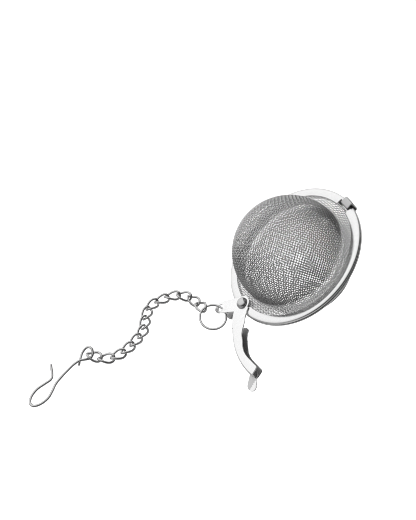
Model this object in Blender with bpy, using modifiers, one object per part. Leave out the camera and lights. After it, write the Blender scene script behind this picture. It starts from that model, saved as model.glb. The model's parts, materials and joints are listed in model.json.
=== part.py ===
"""Mesh tea ball infuser: two hinged half balls, a swinging latch lever, a jump ring,
a curb chain and a wire hook, lying on a table (z = 0) with the latch open.

Lengths in this file are millimetres and are scaled to metres when a mesh is made.
The ball is modelled in its own frame: x runs from the hinge to the latch, z is the
axis of the two rims, and the parting plane is z = 0. That frame is then tilted so
that the ball rests on its lower bowl, with the latch towards the table.
"""
import math

import bmesh
import bpy
from mathutils import Matrix, Vector

MM = 0.001

# Rims: rolled bands that hold the woven mesh
RIM_OUTER_RADIUS = 30.0
RIM_INNER_RADIUS = 26.35
RIM_FLAT_HEIGHT = 0.55      # where the domed face starts, from the parting plane
RIM_CREST_HEIGHT = 1.45
RIM_GAP = 0.7               # between the two rims while the latch is open
RIM_STEPS = 72

# Bowls: hemispheres with a short straight wall and a flat brim
BOWL_RADIUS = 22.4
BOWL_BRIM_RADIUS = 26.0
BOWL_BRIM_HEIGHT = 0.8
BOWL_CENTRE_HEIGHT = 2.52
BOWL_FILLET = 0.9
BOWL_THICKNESS = 0.4
BOWL_STEPS = 40

# Hinge: a strap fixed to the rear rim, curled round a bar left by a slot in the front rim
HINGE_RADIUS = 29.3
HINGE_HEIGHT = 0.8
HINGE_SLOT_WIDTH = 5.6
HINGE_SLOT_RADIUS = 28.6
STRAP_WIDTH = 5.0
STRAP_THICKNESS = 0.5
STRAP_LOOP_RADIUS = 1.3
STRAP_FOOT_HEIGHT = -1.9
STRAP_FOOT_RADIUS = 27.3

# Latch: a bell-crank lever riveted to the front rim
SHEET = 0.5
LATCH_ANGLE = 7.6           # from the line opposite the hinge, degrees
RIVET_RADIUS = 27.6
LEVER_FACE_HEIGHT = 1.57    # underside of the lever's front plate
LEVER_OPEN_ANGLE = 55.5     # turned this far out from the closed position
LEVER_EYE_RADIUS = 3.2
LEVER_OUTER_RADIUS = 30.75
LEVER_START_ANGLE = 19.5    # of the folded channel, round the ball from the rivet
LEVER_END_ANGLE = 67.5
# The lever's inner edge as (angle, radius): wide beside the eye, a waist, a wider end
LEVER_INNER_EDGE = [(3.0, 24.2), (16.0, 24.6), (32.0, 26.3), (47.0, 27.3), (61.0, 26.8), (67.5, 26.8)]
LEVER_START_ROUND = 2.4     # of the back plate's first corner
LEVER_END_ROUND = 1.2
ARM_ANGLE = -41.7           # of the short arm in the open position, from the radius
ARM_LENGTH = 11.4
ARM_END_RADIUS = 2.45
ARM_HOLE_DISTANCE = 10.85
ARM_HOLE_RADIUS = 1.45
TONGUE_LENGTH = 5.6
TONGUE_ANGLE = 104.0
TONGUE_INSET = 1.4
TONGUE_RISE = 7.5           # bent up from the back plate
TONGUE_NECK_WIDTH = 3.2
TONGUE_END_RADIUS = 2.1
REAR_TAB_ANGLE = -32.0
REAR_TAB_LENGTH = 7.6
REAR_TAB_EYE_RADIUS = 3.0
REAR_TAB_END_RADIUS = 2.9
RIVET_HEAD_RADIUS = 2.4
RIVET_HEAD_HEIGHT = 1.6
RIVET_SHANK_RADIUS = 0.55
RIVET_HOLE_RADIUS = 0.7

# Pose of the ball on the table, degrees
BALL_TILT = 38.9
BALL_LEAN = -169.1
BALL_SPIN = 10.0

# Jump ring, chain and hook
RING_PIVOT_X = 36.467       # where the ring's wire passes through the arm's hole
RING_PIVOT_Y = -2.605
RING_RADIUS = 5.35
RING_WIRE = 0.9
RING_AZIMUTH = -128.0
RING_DIP = 11.3
RING_ROLL = 9.0
RING_CHAIN_ANGLE = 80.0    # where the first link hangs, round the ring from the lever
LINK_HALF_LENGTH = 3.12
LINK_HALF_WIDTH = 1.92
LINK_TWIST = 47.0
LINK_FULLNESS = 0.8          # below 1 fills out the corners of the oval
CHAIN_WIRE = 0.95
CHAIN_PITCH = 4.75
LINK_COUNT = 14
CHAIN_HEIGHT = 1.31
LINK_POINTS = 20
RING_LINK_DISTANCE = 1.95    # from the ring's wire to the first link's centre
FIRST_PITCH = 5.0
# The links that come down from the ring: lift above the rest, then yaw, nose down and roll
FIRST_LINKS = {1: (1.1, 0.0, 18.0, -22.5), 2: (0.23, -6.0, 4.7, -4.7), 3: (0.1, 0.0, 2.0, -6.0)}
HOOK_WIRE = 1.0

# Shift that puts the middle of the whole part's base at the origin
PLACE_X = 37.96
PLACE_Y = 12.33

# The chain's route on the table, from the jump ring to the hook (x, y)
CHAIN_ROUTE = [
    (-36.2, -8.0), (-39.3, -4.1), (-43.5, -1.6), (-48.2, -1.5), (-52.7, -3.6), (-56.8, -6.9),
    (-58.8, -12.5), (-59.3, -19.5), (-63.0, -26.0), (-67.8, -31.2), (-73.5, -33.2), (-79.0, -31.5),
    (-84.0, -28.0),
]
# The hook's wire, from its curled end through the eye and the shank to the tip (x, y, z)
HOOK_ROUTE = [
    (-83.3, -35.9, 0.56), (-83.2, -33.4, 0.56), (-82.5, -30.4, 1.3), (-80.9, -28.9, 2.5),
    (-79.1, -29.4, 2.9), (-78.3, -31.2, 1.9), (-79.2, -32.8, 0.85), (-81.2, -33.6, 1.1),
    (-83.3, -34.7, 1.75), (-85.4, -36.4, 1.45), (-87.3, -38.4, 0.8), (-89.2, -41.0, 0.55),
    (-91.0, -44.3, 0.55), (-91.9, -47.6, 0.55),
    (-93.0, -50.6, 0.55), (-95.2, -53.0, 0.55), (-97.8, -54.0, 0.55), (-99.4, -52.6, 0.55),
    (-99.3, -49.8, 0.55), (-97.8, -46.8, 0.55), (-95.4, -44.5, 0.55), (-93.2, -42.4, 0.55),
    (-93.0, -40.2, 0.7), (-94.0, -36.2, 1.6),
]
HOOK_PIVOT = (-79.3, -31.4, 1.5)

STEEL_COLOUR = (0.62, 0.62, 0.61, 1.0)
MESH_COLOUR = (0.42, 0.42, 0.42, 1.0)


def clear_scene():
    for obj in list(bpy.data.objects):
        bpy.data.objects.remove(obj, do_unlink=True)


def new_collection(name):
    collection = bpy.data.collections.new(name)
    bpy.context.scene.collection.children.link(collection)
    return collection


def new_material(name, colour, roughness):
    material = bpy.data.materials.new(name)
    material.use_nodes = True
    shader = material.node_tree.nodes["Principled BSDF"]
    shader.inputs["Base Color"].default_value = colour
    shader.inputs["Metallic"].default_value = 1.0
    shader.inputs["Roughness"].default_value = roughness
    return material


def turn_z(point, degrees, centre=(0.0, 0.0)):
    """A point (x, y) turned about a centre."""
    angle = math.radians(degrees)
    x, y = point[0] - centre[0], point[1] - centre[1]
    return (centre[0] + x * math.cos(angle) - y * math.sin(angle),
            centre[1] + x * math.sin(angle) + y * math.cos(angle))


def polar(radius, degrees):
    return (radius * math.cos(math.radians(degrees)), radius * math.sin(math.radians(degrees)))


def add_mesh_object(name, mesh, collection, material, parent=None):
    obj = bpy.data.objects.new(name, mesh)
    collection.objects.link(obj)
    obj.data.materials.append(material)
    obj.parent = parent
    return obj


def add_empty(name, collection, location, parent=None, rotation=None):
    empty = bpy.data.objects.new(name, None)
    empty.empty_display_size = 5 * MM
    collection.objects.link(empty)
    empty.parent = parent
    empty.location = Vector(location) * MM
    if rotation is not None:
        empty.rotation_euler = rotation
    return empty


def profile_mesh(name, points, closed):
    """A profile in the x-z plane as a mesh of edges, for a Screw modifier."""
    mesh = bpy.data.meshes.new(name)
    count = len(points)
    edges = [(i, (i + 1) % count) for i in range(count if closed else count - 1)]
    mesh.from_pydata([(x * MM, 0.0, z * MM) for x, z in points], edges, [])
    return mesh


def turned(name, points, steps, collection, material, parent, closed=False):
    """A turned shape: the profile screwed round the z axis of its parent."""
    obj = add_mesh_object(name, profile_mesh(name, points, closed), collection, material, parent)
    screw = obj.modifiers.new("Turn", "SCREW")
    screw.axis = "Z"
    screw.steps = steps
    screw.render_steps = steps
    screw.use_merge_vertices = True
    screw.merge_threshold = 0.00001
    screw.use_smooth_shade = True
    return obj


def plate_mesh(name, outline, low, thickness):
    """A flat plate: the outline (x, y) raised from z = low by its thickness."""
    bm = bmesh.new()
    face = bm.faces.new([bm.verts.new((x * MM, y * MM, low * MM)) for x, y in outline])
    raised = bmesh.ops.extrude_face_region(bm, geom=[face], use_keep_orig=True)
    verts = [item for item in raised["geom"] if isinstance(item, bmesh.types.BMVert)]
    bmesh.ops.translate(bm, verts=verts, vec=(0.0, 0.0, thickness * MM))
    bmesh.ops.recalc_face_normals(bm, faces=bm.faces)
    mesh = bpy.data.meshes.new(name)
    bm.to_mesh(mesh)
    bm.free()
    return mesh


def cylinder_mesh(name, radius, low, high, centre=(0.0, 0.0), segments=24):
    bm = bmesh.new()
    bmesh.ops.create_cone(bm, cap_ends=True, segments=segments, radius1=radius * MM,
                          radius2=radius * MM, depth=(high - low) * MM)
    middle = (centre[0] * MM, centre[1] * MM, 0.5 * (low + high) * MM)
    bmesh.ops.translate(bm, verts=bm.verts, vec=middle)
    mesh = bpy.data.meshes.new(name)
    bm.to_mesh(mesh)
    bm.free()
    return mesh


def box_mesh(name, low, high):
    bm = bmesh.new()
    bmesh.ops.create_cube(bm, size=1.0)
    for vert in bm.verts:
        for axis in range(3):
            vert.co[axis] = (high[axis] if vert.co[axis] > 0 else low[axis]) * MM
    mesh = bpy.data.meshes.new(name)
    bm.to_mesh(mesh)
    bm.free()
    return mesh


def add_boolean(obj, tool, operation, name):
    modifier = obj.modifiers.new(name, "BOOLEAN")
    modifier.operation = operation
    modifier.solver = "EXACT"
    modifier.object = tool
    return modifier


def add_tool(name, mesh, collection, parent):
    """A hidden helper that cuts or joins another object."""
    tool = bpy.data.objects.new(name, mesh)
    collection.objects.link(tool)
    tool.parent = parent
    tool.hide_render = True
    tool.display_type = "WIRE"
    return tool


def smooth_route(points, samples):
    """A Catmull-Rom curve through the points, as a dense list of points."""
    points = [Vector(p) for p in points]
    ends = [2 * points[0] - points[1]] + points + [2 * points[-1] - points[-2]]
    curve = []
    for a, b, c, d in zip(ends, ends[1:], ends[2:], ends[3:]):
        for step in range(samples):
            t = step / samples
            curve.append(0.5 * (2 * b + (c - a) * t + (2 * a - 5 * b + 4 * c - d) * t * t
                                + (3 * b - a - 3 * c + d) * t ** 3))
    curve.append(points[-1])
    return curve


def wire_object(name, points, diameter, cyclic, collection, material, parent=None):
    """A round wire along the points."""
    curve = bpy.data.curves.new(name, "CURVE")
    curve.dimensions = "3D"
    curve.bevel_depth = 0.5 * diameter * MM
    curve.bevel_resolution = 2
    curve.use_fill_caps = not cyclic
    spline = curve.splines.new("POLY")
    spline.points.add(len(points) - 1)
    for spot, point in zip(spline.points, points):
        spot.co = (point[0] * MM, point[1] * MM, point[2] * MM, 1.0)
    spline.use_cyclic_u = cyclic
    spline.use_smooth = True
    obj = bpy.data.objects.new(name, curve)
    collection.objects.link(obj)
    curve.materials.append(material)
    obj.parent = parent
    return obj


def rim_profile(side):
    """The rim's section, outer side running down; side is 1 for the front, -1 for the rear."""
    middle = 0.5 * (RIM_INNER_RADIUS + RIM_OUTER_RADIUS)
    half = 0.5 * (RIM_OUTER_RADIUS - RIM_INNER_RADIUS)
    rise = RIM_CREST_HEIGHT - RIM_FLAT_HEIGHT
    dome = []
    for step in range(9):
        angle = math.pi * (1 - step / 8)
        dome.append((middle + half * math.cos(angle), RIM_FLAT_HEIGHT + rise * math.sin(angle)))
    foot = [(RIM_OUTER_RADIUS - 0.15, RIM_GAP / 2), (RIM_INNER_RADIUS + 0.15, RIM_GAP / 2)]
    points = dome + foot
    if side < 0:
        points = [(x, -z) for x, z in reversed(points)]
    return points


def bowl_profile(side):
    """The bowl's line from the brim to the pole of the dome."""
    fillet_x = BOWL_RADIUS + BOWL_FILLET
    fillet_z = BOWL_BRIM_HEIGHT + BOWL_FILLET
    points = [(BOWL_BRIM_RADIUS, BOWL_BRIM_HEIGHT)]
    for step in range(4):
        angle = math.radians(-90 - 30 * step)
        points.append((fillet_x + BOWL_FILLET * math.cos(angle),
                       fillet_z + BOWL_FILLET * math.sin(angle)))
    for step in range(1, 10):
        angle = math.radians(10 * step)
        points.append((BOWL_RADIUS * math.cos(angle),
                       BOWL_CENTRE_HEIGHT + BOWL_RADIUS * math.sin(angle)))
    points[-1] = (0.0, points[-1][1])
    return [(x, side * z) for x, z in points]


def make_rim(name, side, collection, material, parent):
    return turned(name, rim_profile(side), RIM_STEPS, collection, material, parent, closed=True)


def make_bowl(name, side, collection, material, parent):
    bowl = turned(name, bowl_profile(side), BOWL_STEPS, collection, material, parent)
    skin = bowl.modifiers.new("Skin", "SOLIDIFY")
    skin.thickness = BOWL_THICKNESS * MM
    skin.offset = 0.0
    return bowl


def make_strap(collection, material, parent):
    """The hinge strap: a foot on the rear rim, a wall outside it and a loop round the bar."""
    outer = HINGE_RADIUS + STRAP_LOOP_RADIUS
    corner = 0.8
    path = [(STRAP_FOOT_RADIUS, STRAP_FOOT_HEIGHT)]
    for step in range(5):
        angle = math.radians(-90 + 22.5 * step)
        path.append((outer - corner + corner * math.cos(angle),
                     STRAP_FOOT_HEIGHT + corner + corner * math.sin(angle)))
    for step in range(9):
        angle = math.radians(22.5 * step)
        path.append((HINGE_RADIUS + STRAP_LOOP_RADIUS * math.cos(angle),
                     HINGE_HEIGHT + STRAP_LOOP_RADIUS * math.sin(angle)))
    path.append((HINGE_RADIUS - STRAP_LOOP_RADIUS, 0.1))
    bm = bmesh.new()
    rows = [[bm.verts.new((-x * MM, side * STRAP_WIDTH / 2 * MM, z * MM)) for side in (-1, 1)]
            for x, z in path]
    for first, second in zip(rows, rows[1:]):
        bm.faces.new((first[0], first[1], second[1], second[0]))
    mesh = bpy.data.meshes.new("hinge_strap")
    bm.to_mesh(mesh)
    bm.free()
    strap = add_mesh_object("hinge_strap", mesh, collection, material, parent)
    skin = strap.modifiers.new("Sheet", "SOLIDIFY")
    skin.thickness = STRAP_THICKNESS * MM
    skin.offset = 0.0
    skin.use_even_offset = True
    return strap


def capsule_outline(radius0, radius1, length, steps=10):
    """Two circles of different radius joined by their tangents, the first at the origin."""
    lean = math.degrees(math.asin((radius0 - radius1) / length))
    outline = []
    for step in range(steps + 1):
        outline.append(polar(radius0, 90 - lean + (180 + 2 * lean) * step / steps))
    for step in range(steps + 1):
        x, y = polar(radius1, -90 + lean + (180 - 2 * lean) * step / steps)
        outline.append((length + x, y))
    return outline


def inner_edge(angle):
    """The lever's inner radius round the ball at an angle."""
    for (angle0, radius0), (angle1, radius1) in zip(LEVER_INNER_EDGE, LEVER_INNER_EDGE[1:]):
        if angle <= angle1:
            share = min(max((angle - angle0) / (angle1 - angle0), 0.0), 1.0)
            return radius0 + (radius1 - radius0) * 0.5 * (1 - math.cos(math.pi * share))
    return LEVER_INNER_EDGE[-1][1]


def corner_cut(angle, end_angle, corner):
    """How far a round corner takes the edge back, at an angle beside the end it rounds."""
    distance = min(abs(angle - end_angle) * math.radians(1.0) * LEVER_OUTER_RADIUS, corner)
    return corner - math.sqrt(corner ** 2 - (corner - distance) ** 2)


def front_inner_edge(angle):
    return inner_edge(angle) + corner_cut(angle, LEVER_END_ANGLE, LEVER_END_ROUND)


def back_inner_edge(angle):
    return (inner_edge(angle) + corner_cut(angle, LEVER_START_ANGLE + 1.0, LEVER_START_ROUND)
            + corner_cut(angle, LEVER_END_ANGLE + 0.5, LEVER_END_ROUND))


def lever_band(start, end, inner, outer, steps=12):
    """The outline of a band round the ball, from the start angle to the end angle."""
    angles = [start + (end - start) * step / steps for step in range(steps + 1)]
    outline = [polar(outer, angle) for angle in angles]
    outline += [polar(inner(angle), angle) for angle in reversed(angles)]
    return outline


def in_open_position(outline, rivet):
    """Points of the closed lever, turned about the rivet to where it lies open."""
    return [turn_z(turn_z(point, LATCH_ANGLE), -LEVER_OPEN_ANGLE, rivet) for point in outline]


def along(direction, outline, origin):
    """Points of a shape that starts at the origin and runs in a direction."""
    return [(origin[0] + x, origin[1] + y)
            for x, y in (turn_z(point, direction) for point in outline)]


def shifted(mesh, offset):
    mesh.transform(Matrix.Translation(-Vector(offset) * MM))
    return mesh


def make_lever(collection, tools, material, parent, rivet):
    """The latch lever, with its origin on the rivet's axis."""
    pivot = (rivet[0], rivet[1], 0.0)
    low = LEVER_FACE_HEIGHT
    back = -(LEVER_FACE_HEIGHT + SHEET)
    front = in_open_position(
        lever_band(3.0, LEVER_END_ANGLE, front_inner_edge, LEVER_OUTER_RADIUS, 26), rivet)
    lever = add_mesh_object("latch_lever", shifted(plate_mesh("latch_lever", front, low, SHEET), pivot),
                            collection, material, parent)
    eye = capsule_outline(LEVER_EYE_RADIUS, ARM_END_RADIUS, ARM_LENGTH)
    arm = along(ARM_ANGLE + LATCH_ANGLE, eye, rivet)
    wall = in_open_position(
        lever_band(LEVER_START_ANGLE, LEVER_END_ANGLE - 1.0, lambda angle: LEVER_OUTER_RADIUS - SHEET,
                   LEVER_OUTER_RADIUS - 0.05), rivet)
    band = in_open_position(
        lever_band(LEVER_START_ANGLE + 1.0, LEVER_END_ANGLE + 0.5, back_inner_edge,
                   LEVER_OUTER_RADIUS - 0.1, 24), rivet)
    neck = turn_z(polar(LEVER_OUTER_RADIUS - TONGUE_INSET, LEVER_END_ANGLE - 5.5), LATCH_ANGLE)
    neck = turn_z(neck, -LEVER_OPEN_ANGLE, rivet)
    tongue = plate_mesh("tongue_tool", capsule_outline(TONGUE_NECK_WIDTH / 2, TONGUE_END_RADIUS,
                                                       TONGUE_LENGTH), 0.03, SHEET - 0.06)
    tongue.transform(Matrix.Translation(Vector((*neck, back)) * MM)
                     @ Matrix.Rotation(math.radians(TONGUE_ANGLE + LATCH_ANGLE - LEVER_OPEN_ANGLE), 4, "Z")
                     @ Matrix.Rotation(math.radians(-TONGUE_RISE), 4, "Y"))
    joined = (
        ("arm_tool", plate_mesh("arm_tool", arm, low + 0.01, SHEET - 0.02)),
        ("wall_tool", plate_mesh("wall_tool", wall, back + 0.1, 2 * low + SHEET + 0.1)),
        ("band_tool", plate_mesh("band_tool", band, back, SHEET)),
        ("tongue_tool", tongue),
    )
    for name, mesh in joined:
        tool = add_tool(name, shifted(mesh, pivot), tools, parent)
        tool.location = Vector(pivot) * MM
        add_boolean(lever, tool, "UNION", name)
    hole = polar(ARM_HOLE_DISTANCE, ARM_ANGLE + LATCH_ANGLE)
    cuts = (
        ("rivet_hole", cylinder_mesh("rivet_hole", RIVET_HOLE_RADIUS, low - 1, low + 2)),
        ("ring_hole", cylinder_mesh("ring_hole", ARM_HOLE_RADIUS, low - 1, low + 2, hole)),
    )
    for name, mesh in cuts:
        tool = add_tool(name, mesh, tools, parent)
        tool.location = Vector(pivot) * MM
        add_boolean(lever, tool, "DIFFERENCE", name)
    lever.location = Vector(pivot) * MM
    return lever


def make_rear_tab(collection, material, parent, rivet):
    outline = along(REAR_TAB_ANGLE + LATCH_ANGLE,
                    capsule_outline(REAR_TAB_EYE_RADIUS, REAR_TAB_END_RADIUS, REAR_TAB_LENGTH), rivet)
    mesh = plate_mesh("rear_tab", outline, -(LEVER_FACE_HEIGHT + SHEET), SHEET)
    return add_mesh_object("rear_tab", mesh, collection, material, parent)


def make_rivet(collection, material, parent, rivet):
    top = LEVER_FACE_HEIGHT + SHEET + 0.12
    profile = []
    for step in range(7):
        angle = math.radians(90 - 15 * step)
        profile.append((RIVET_HEAD_RADIUS * math.cos(angle), top + RIVET_HEAD_HEIGHT * math.sin(angle)))
    profile[0] = (0.0, top + RIVET_HEAD_HEIGHT)
    profile += [(RIVET_SHANK_RADIUS, top), (RIVET_SHANK_RADIUS, RIM_GAP / 2 + 0.1),
                (0.0, RIM_GAP / 2 + 0.1)]
    rivet_object = turned("latch_rivet", profile, 24, collection, material, parent)
    rivet_object.location = Vector((rivet[0], rivet[1], 0.0)) * MM
    return rivet_object


def ring_frame(hole_point):
    """The jump ring's centre and axes: x points at the hole, z is the ring's axis."""
    azimuth = math.radians(RING_AZIMUTH)
    dip = math.radians(RING_DIP)
    outward = Vector((math.cos(azimuth) * math.cos(dip), math.sin(azimuth) * math.cos(dip),
                      -math.sin(dip)))
    towards_hole = -outward
    upright = (Vector((0, 0, 1)) - towards_hole * towards_hole.z).normalized()
    side = upright.cross(towards_hole)
    roll = Matrix.Rotation(math.radians(RING_ROLL), 3, towards_hole)
    side = roll @ side
    axis = towards_hole.cross(side)
    centre = hole_point + outward * RING_RADIUS
    frame = Matrix((towards_hole, side, axis)).transposed()
    return centre, frame


def circle_points(centre, frame, radius, count):
    points = []
    for step in range(count):
        angle = 2 * math.pi * step / count
        points.append(centre + frame @ Vector((radius * math.cos(angle), radius * math.sin(angle), 0)))
    return points


def link_points():
    """The middle line of one curb link: an oval, twisted about its long axis."""
    points = []
    for step in range(LINK_POINTS):
        angle = 2 * math.pi * step / LINK_POINTS
        x = LINK_HALF_LENGTH * math.copysign(abs(math.cos(angle)) ** LINK_FULLNESS, math.cos(angle))
        y = LINK_HALF_WIDTH * math.copysign(abs(math.sin(angle)) ** LINK_FULLNESS, math.sin(angle))
        twist = math.radians(LINK_TWIST) * x / LINK_HALF_LENGTH
        points.append((x, y * math.cos(twist), y * math.sin(twist)))
    return points


def route_index(curve, start, distance):
    """The first point of the curve that is a distance from its point at index start."""
    for index in range(start, len(curve)):
        if (curve[index] - curve[start]).length >= distance:
            return index
    return len(curve) - 1


def chain_frames(ring_point):
    """The place of every link: each lies along the route, a pitch from the one before."""
    route = [(ring_point.x, ring_point.y)] + CHAIN_ROUTE
    curve = [Vector((x, y, 0.0)) for x, y in
             (point[:2] for point in smooth_route([(x, y, 0.0) for x, y in route], 60))]
    spots = [route_index(curve, 0, RING_LINK_DISTANCE)]
    for number in range(1, LINK_COUNT + 1):
        pitch = FIRST_PITCH if number == 1 else CHAIN_PITCH
        spots.append(route_index(curve, spots[-1], pitch))
    places = [curve[0]] + [curve[spot] for spot in spots]
    frames = []
    for number in range(1, LINK_COUNT + 1):
        along_x = (places[number + 1] - places[number - 1]).normalized()
        lift, yaw, nose, roll = FIRST_LINKS.get(number, (0.0, 0.0, 0.0, 0.0))
        centre = places[number] + Vector((0.0, 0.0, CHAIN_HEIGHT + lift))
        side = Vector((0.0, 0.0, 1.0)).cross(along_x)
        frame = Matrix((along_x, side, along_x.cross(side))).transposed().to_4x4()
        turn = (Matrix.Rotation(math.radians(yaw), 4, "Z") @ Matrix.Rotation(math.radians(nose), 4, "Y")
                @ Matrix.Rotation(math.radians(roll), 4, "X"))
        frames.append(Matrix.Translation(centre * MM) @ frame @ turn)
    return frames


def put_on_pivot(obj, frame, pivot, collection, place):
    """Put a swinging piece in its place, under an empty that lies on its joint's axis."""
    empty = add_empty(obj.name + "_pivot", collection, pivot, parent=place)
    obj.parent = empty
    obj.matrix_local = Matrix.Translation(-Vector(pivot) * MM) @ frame


def main():
    clear_scene()
    parts = new_collection("tea_infuser")
    tools = new_collection("tea_infuser_tools")
    polished = new_material("polished_steel", STEEL_COLOUR, 0.22)
    woven = new_material("woven_steel", MESH_COLOUR, 0.45)

    place = add_empty("placing", parts, (PLACE_X, PLACE_Y, 0.0))
    lean = Matrix.Rotation(math.radians(BALL_LEAN), 3, "Z")
    tilt = Matrix.Rotation(math.radians(BALL_TILT), 3, "Y")
    spin = Matrix.Rotation(math.radians(BALL_SPIN), 3, "Z")
    turn = lean @ tilt @ spin
    bowl_bottom = BOWL_CENTRE_HEIGHT * turn[2][2] + BOWL_RADIUS + BOWL_THICKNESS / 2
    ball = add_empty("ball_frame", parts, (0.0, 0.0, bowl_bottom), place, turn.to_euler())

    rivet = polar(RIVET_RADIUS, LATCH_ANGLE)
    hinge = (-HINGE_RADIUS, 0.0, HINGE_HEIGHT)
    front_half = add_empty("front_half_hinge", parts, hinge, parent=ball)
    centre = -Vector(hinge) * MM

    front_rim = make_rim("front_rim", 1, parts, polished, front_half)
    slot = add_tool("hinge_slot", box_mesh("hinge_slot", (-HINGE_SLOT_RADIUS, -HINGE_SLOT_WIDTH / 2, -1.0),
                                           (-20.0, HINGE_SLOT_WIDTH / 2, 3.0)), tools, front_half)
    rim_hole = add_tool("rim_hole", cylinder_mesh("rim_hole", RIVET_HOLE_RADIUS, -1, 3, rivet),
                        tools, front_half)
    for tool in (slot, rim_hole):
        tool.location = centre
        add_boolean(front_rim, tool, "DIFFERENCE", tool.name)
    for piece in (
        front_rim,
        make_bowl("front_bowl", 1, parts, woven, front_half),
    ):
        piece.location = centre
    latch = add_empty("latch_frame", parts, (0.0, 0.0, 0.0), parent=front_half)
    latch.location = centre
    make_rivet(parts, polished, latch, rivet)
    make_lever(parts, tools, polished, latch, rivet)

    make_rim("rear_rim", -1, parts, polished, ball)
    make_bowl("rear_bowl", -1, parts, woven, ball)
    make_strap(parts, polished, ball)
    make_rear_tab(parts, polished, ball, rivet)

    to_world = Matrix.Translation(Vector((0.0, 0.0, bowl_bottom))) @ turn.to_4x4()
    hole_point = to_world @ Vector((RING_PIVOT_X, RING_PIVOT_Y, LEVER_FACE_HEIGHT + SHEET / 2))
    ring_centre, frame = ring_frame(hole_point)
    ring = circle_points(Vector(), Matrix.Identity(3), RING_RADIUS, 36)
    jump_ring = wire_object("jump_ring", ring, RING_WIRE, True, parts, polished)
    put_on_pivot(jump_ring, Matrix.Translation(ring_centre * MM) @ frame.to_4x4(), hole_point,
                 parts, place)

    hang = ring_centre + frame @ Vector((*polar(RING_RADIUS, RING_CHAIN_ANGLE), 0.0))
    points = link_points()
    first_link = None
    pivot = hang
    previous = None
    for number, link_frame in enumerate(chain_frames(hang), start=1):
        name = f"chain_link_{number:02d}"
        if first_link is None:
            link = wire_object(name, points, CHAIN_WIRE, True, parts, polished)
            first_link = link
        else:
            link = bpy.data.objects.new(name, first_link.data)
            parts.objects.link(link)
        centre = link_frame.translation / MM
        if previous is not None:
            pivot = (previous + centre) / 2
        put_on_pivot(link, link_frame, pivot, parts, place)
        previous = centre
    hook = [tuple(point) for point in smooth_route(HOOK_ROUTE, 3)]
    cup_hook = wire_object("cup_hook", hook, HOOK_WIRE, False, parts, polished)
    put_on_pivot(cup_hook, Matrix.Identity(4), HOOK_PIVOT, parts, place)


main()
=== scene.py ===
"""Looks of the mesh tea ball infuser: woven wire bowls, rolled rims, bent sheet and wire."""
import json
import math

import bmesh
import bpy
import numpy as np
from mathutils import Matrix, Vector


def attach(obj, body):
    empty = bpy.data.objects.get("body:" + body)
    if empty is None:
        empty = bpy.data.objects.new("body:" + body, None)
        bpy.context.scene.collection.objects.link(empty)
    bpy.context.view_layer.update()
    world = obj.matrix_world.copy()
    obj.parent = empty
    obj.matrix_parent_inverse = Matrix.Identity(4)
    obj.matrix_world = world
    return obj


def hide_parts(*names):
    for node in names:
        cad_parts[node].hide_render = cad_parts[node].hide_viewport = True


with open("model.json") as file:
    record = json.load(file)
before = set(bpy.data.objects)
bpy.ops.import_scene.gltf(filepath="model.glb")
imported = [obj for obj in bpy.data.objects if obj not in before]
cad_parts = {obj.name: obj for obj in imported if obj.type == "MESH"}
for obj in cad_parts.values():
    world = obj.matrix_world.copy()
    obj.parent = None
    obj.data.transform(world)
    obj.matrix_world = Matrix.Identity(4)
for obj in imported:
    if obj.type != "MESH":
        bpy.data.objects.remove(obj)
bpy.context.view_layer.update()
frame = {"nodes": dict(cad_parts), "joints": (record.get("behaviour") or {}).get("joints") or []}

# Lengths are millimetres and are scaled to metres when a mesh is made.
MM = 0.001

# Rims
RIM_OUTER_RADIUS = 30.0
RIM_INNER_RADIUS = 26.35
RIM_FLAT_HEIGHT = 0.55
RIM_CREST_HEIGHT = 1.45
RIM_FACE_HEIGHT = 0.35
RIM_LIP_HEIGHT = 1.25
RIM_CREST_INNER = 27.6
RIM_CREST_OUTER = 28.5
RIM_CREST_DIP = 0.03
RIM_CORNER = 0.18
RIM_STEPS = 320

# Woven bowls
BOWL_RADIUS = 22.3
BOWL_CENTRE_HEIGHT = 2.51
BOWL_FILLET = 0.9
BRIM_HEIGHT = 0.8
BRIM_END_RADIUS = 27.0
# Distances along a bowl's section, from its pole to the end of each stretch
DOME_END = BOWL_RADIUS * math.pi / 2
WALL_END = DOME_END + BOWL_CENTRE_HEIGHT - BRIM_HEIGHT - BOWL_FILLET
FILLET_END = WALL_END + BOWL_FILLET * math.pi / 2
BRIM_END = FILLET_END + BRIM_END_RADIUS - BOWL_RADIUS - BOWL_FILLET
MESH_PITCH = 1.05
MESH_WIRE = 0.29
MESH_SIDES = 6
MESH_ANGLE = 35.0
MESH_MARGIN = 1.0
# Share of the wire's brightness by distance from the parting plane, as painted light and shade: the wall is
# painted darkest, the brim and the pole brighter
MESH_PAINTED_LIGHT_AND_SHADE = ((0.0, 1.4), (1.1, 1.4), (2.0, 0.55), (7.0, 0.55), (13.0, 0.8), (25.0, 1.1))

# Hinge
HINGE_RADIUS = 29.3
HINGE_HEIGHT = 0.8
HINGE_SLOT_WIDTH = 5.6
HINGE_SLOT_RADIUS = 28.6
HINGE_SLOT_SPARE = 1.3
HINGE_SLOT_INNER_RADIUS = 20.0
STRAP_WIDTH = 5.0
STRAP_LOOP_RADIUS = 1.3
STRAP_LOOP_SPARE = 0.15
STRAP_FOOT_HEIGHT = -1.9
STRAP_FOOT_RADIUS = 27.3
STRAP_FOOT_LENGTH = 1.2
STRAP_END_HEIGHT = 0.1
STRAP_CORNER = 0.8
STRAP_TOP_CORNER = 0.45
STRAP_TOP_SPARE = 0.02
STRAP_LEAN = 14.0
STRAP_EDGE_ROUND = 0.14

# Latch
SHEET = 0.5
EDGE_ROUND = 0.07
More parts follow.
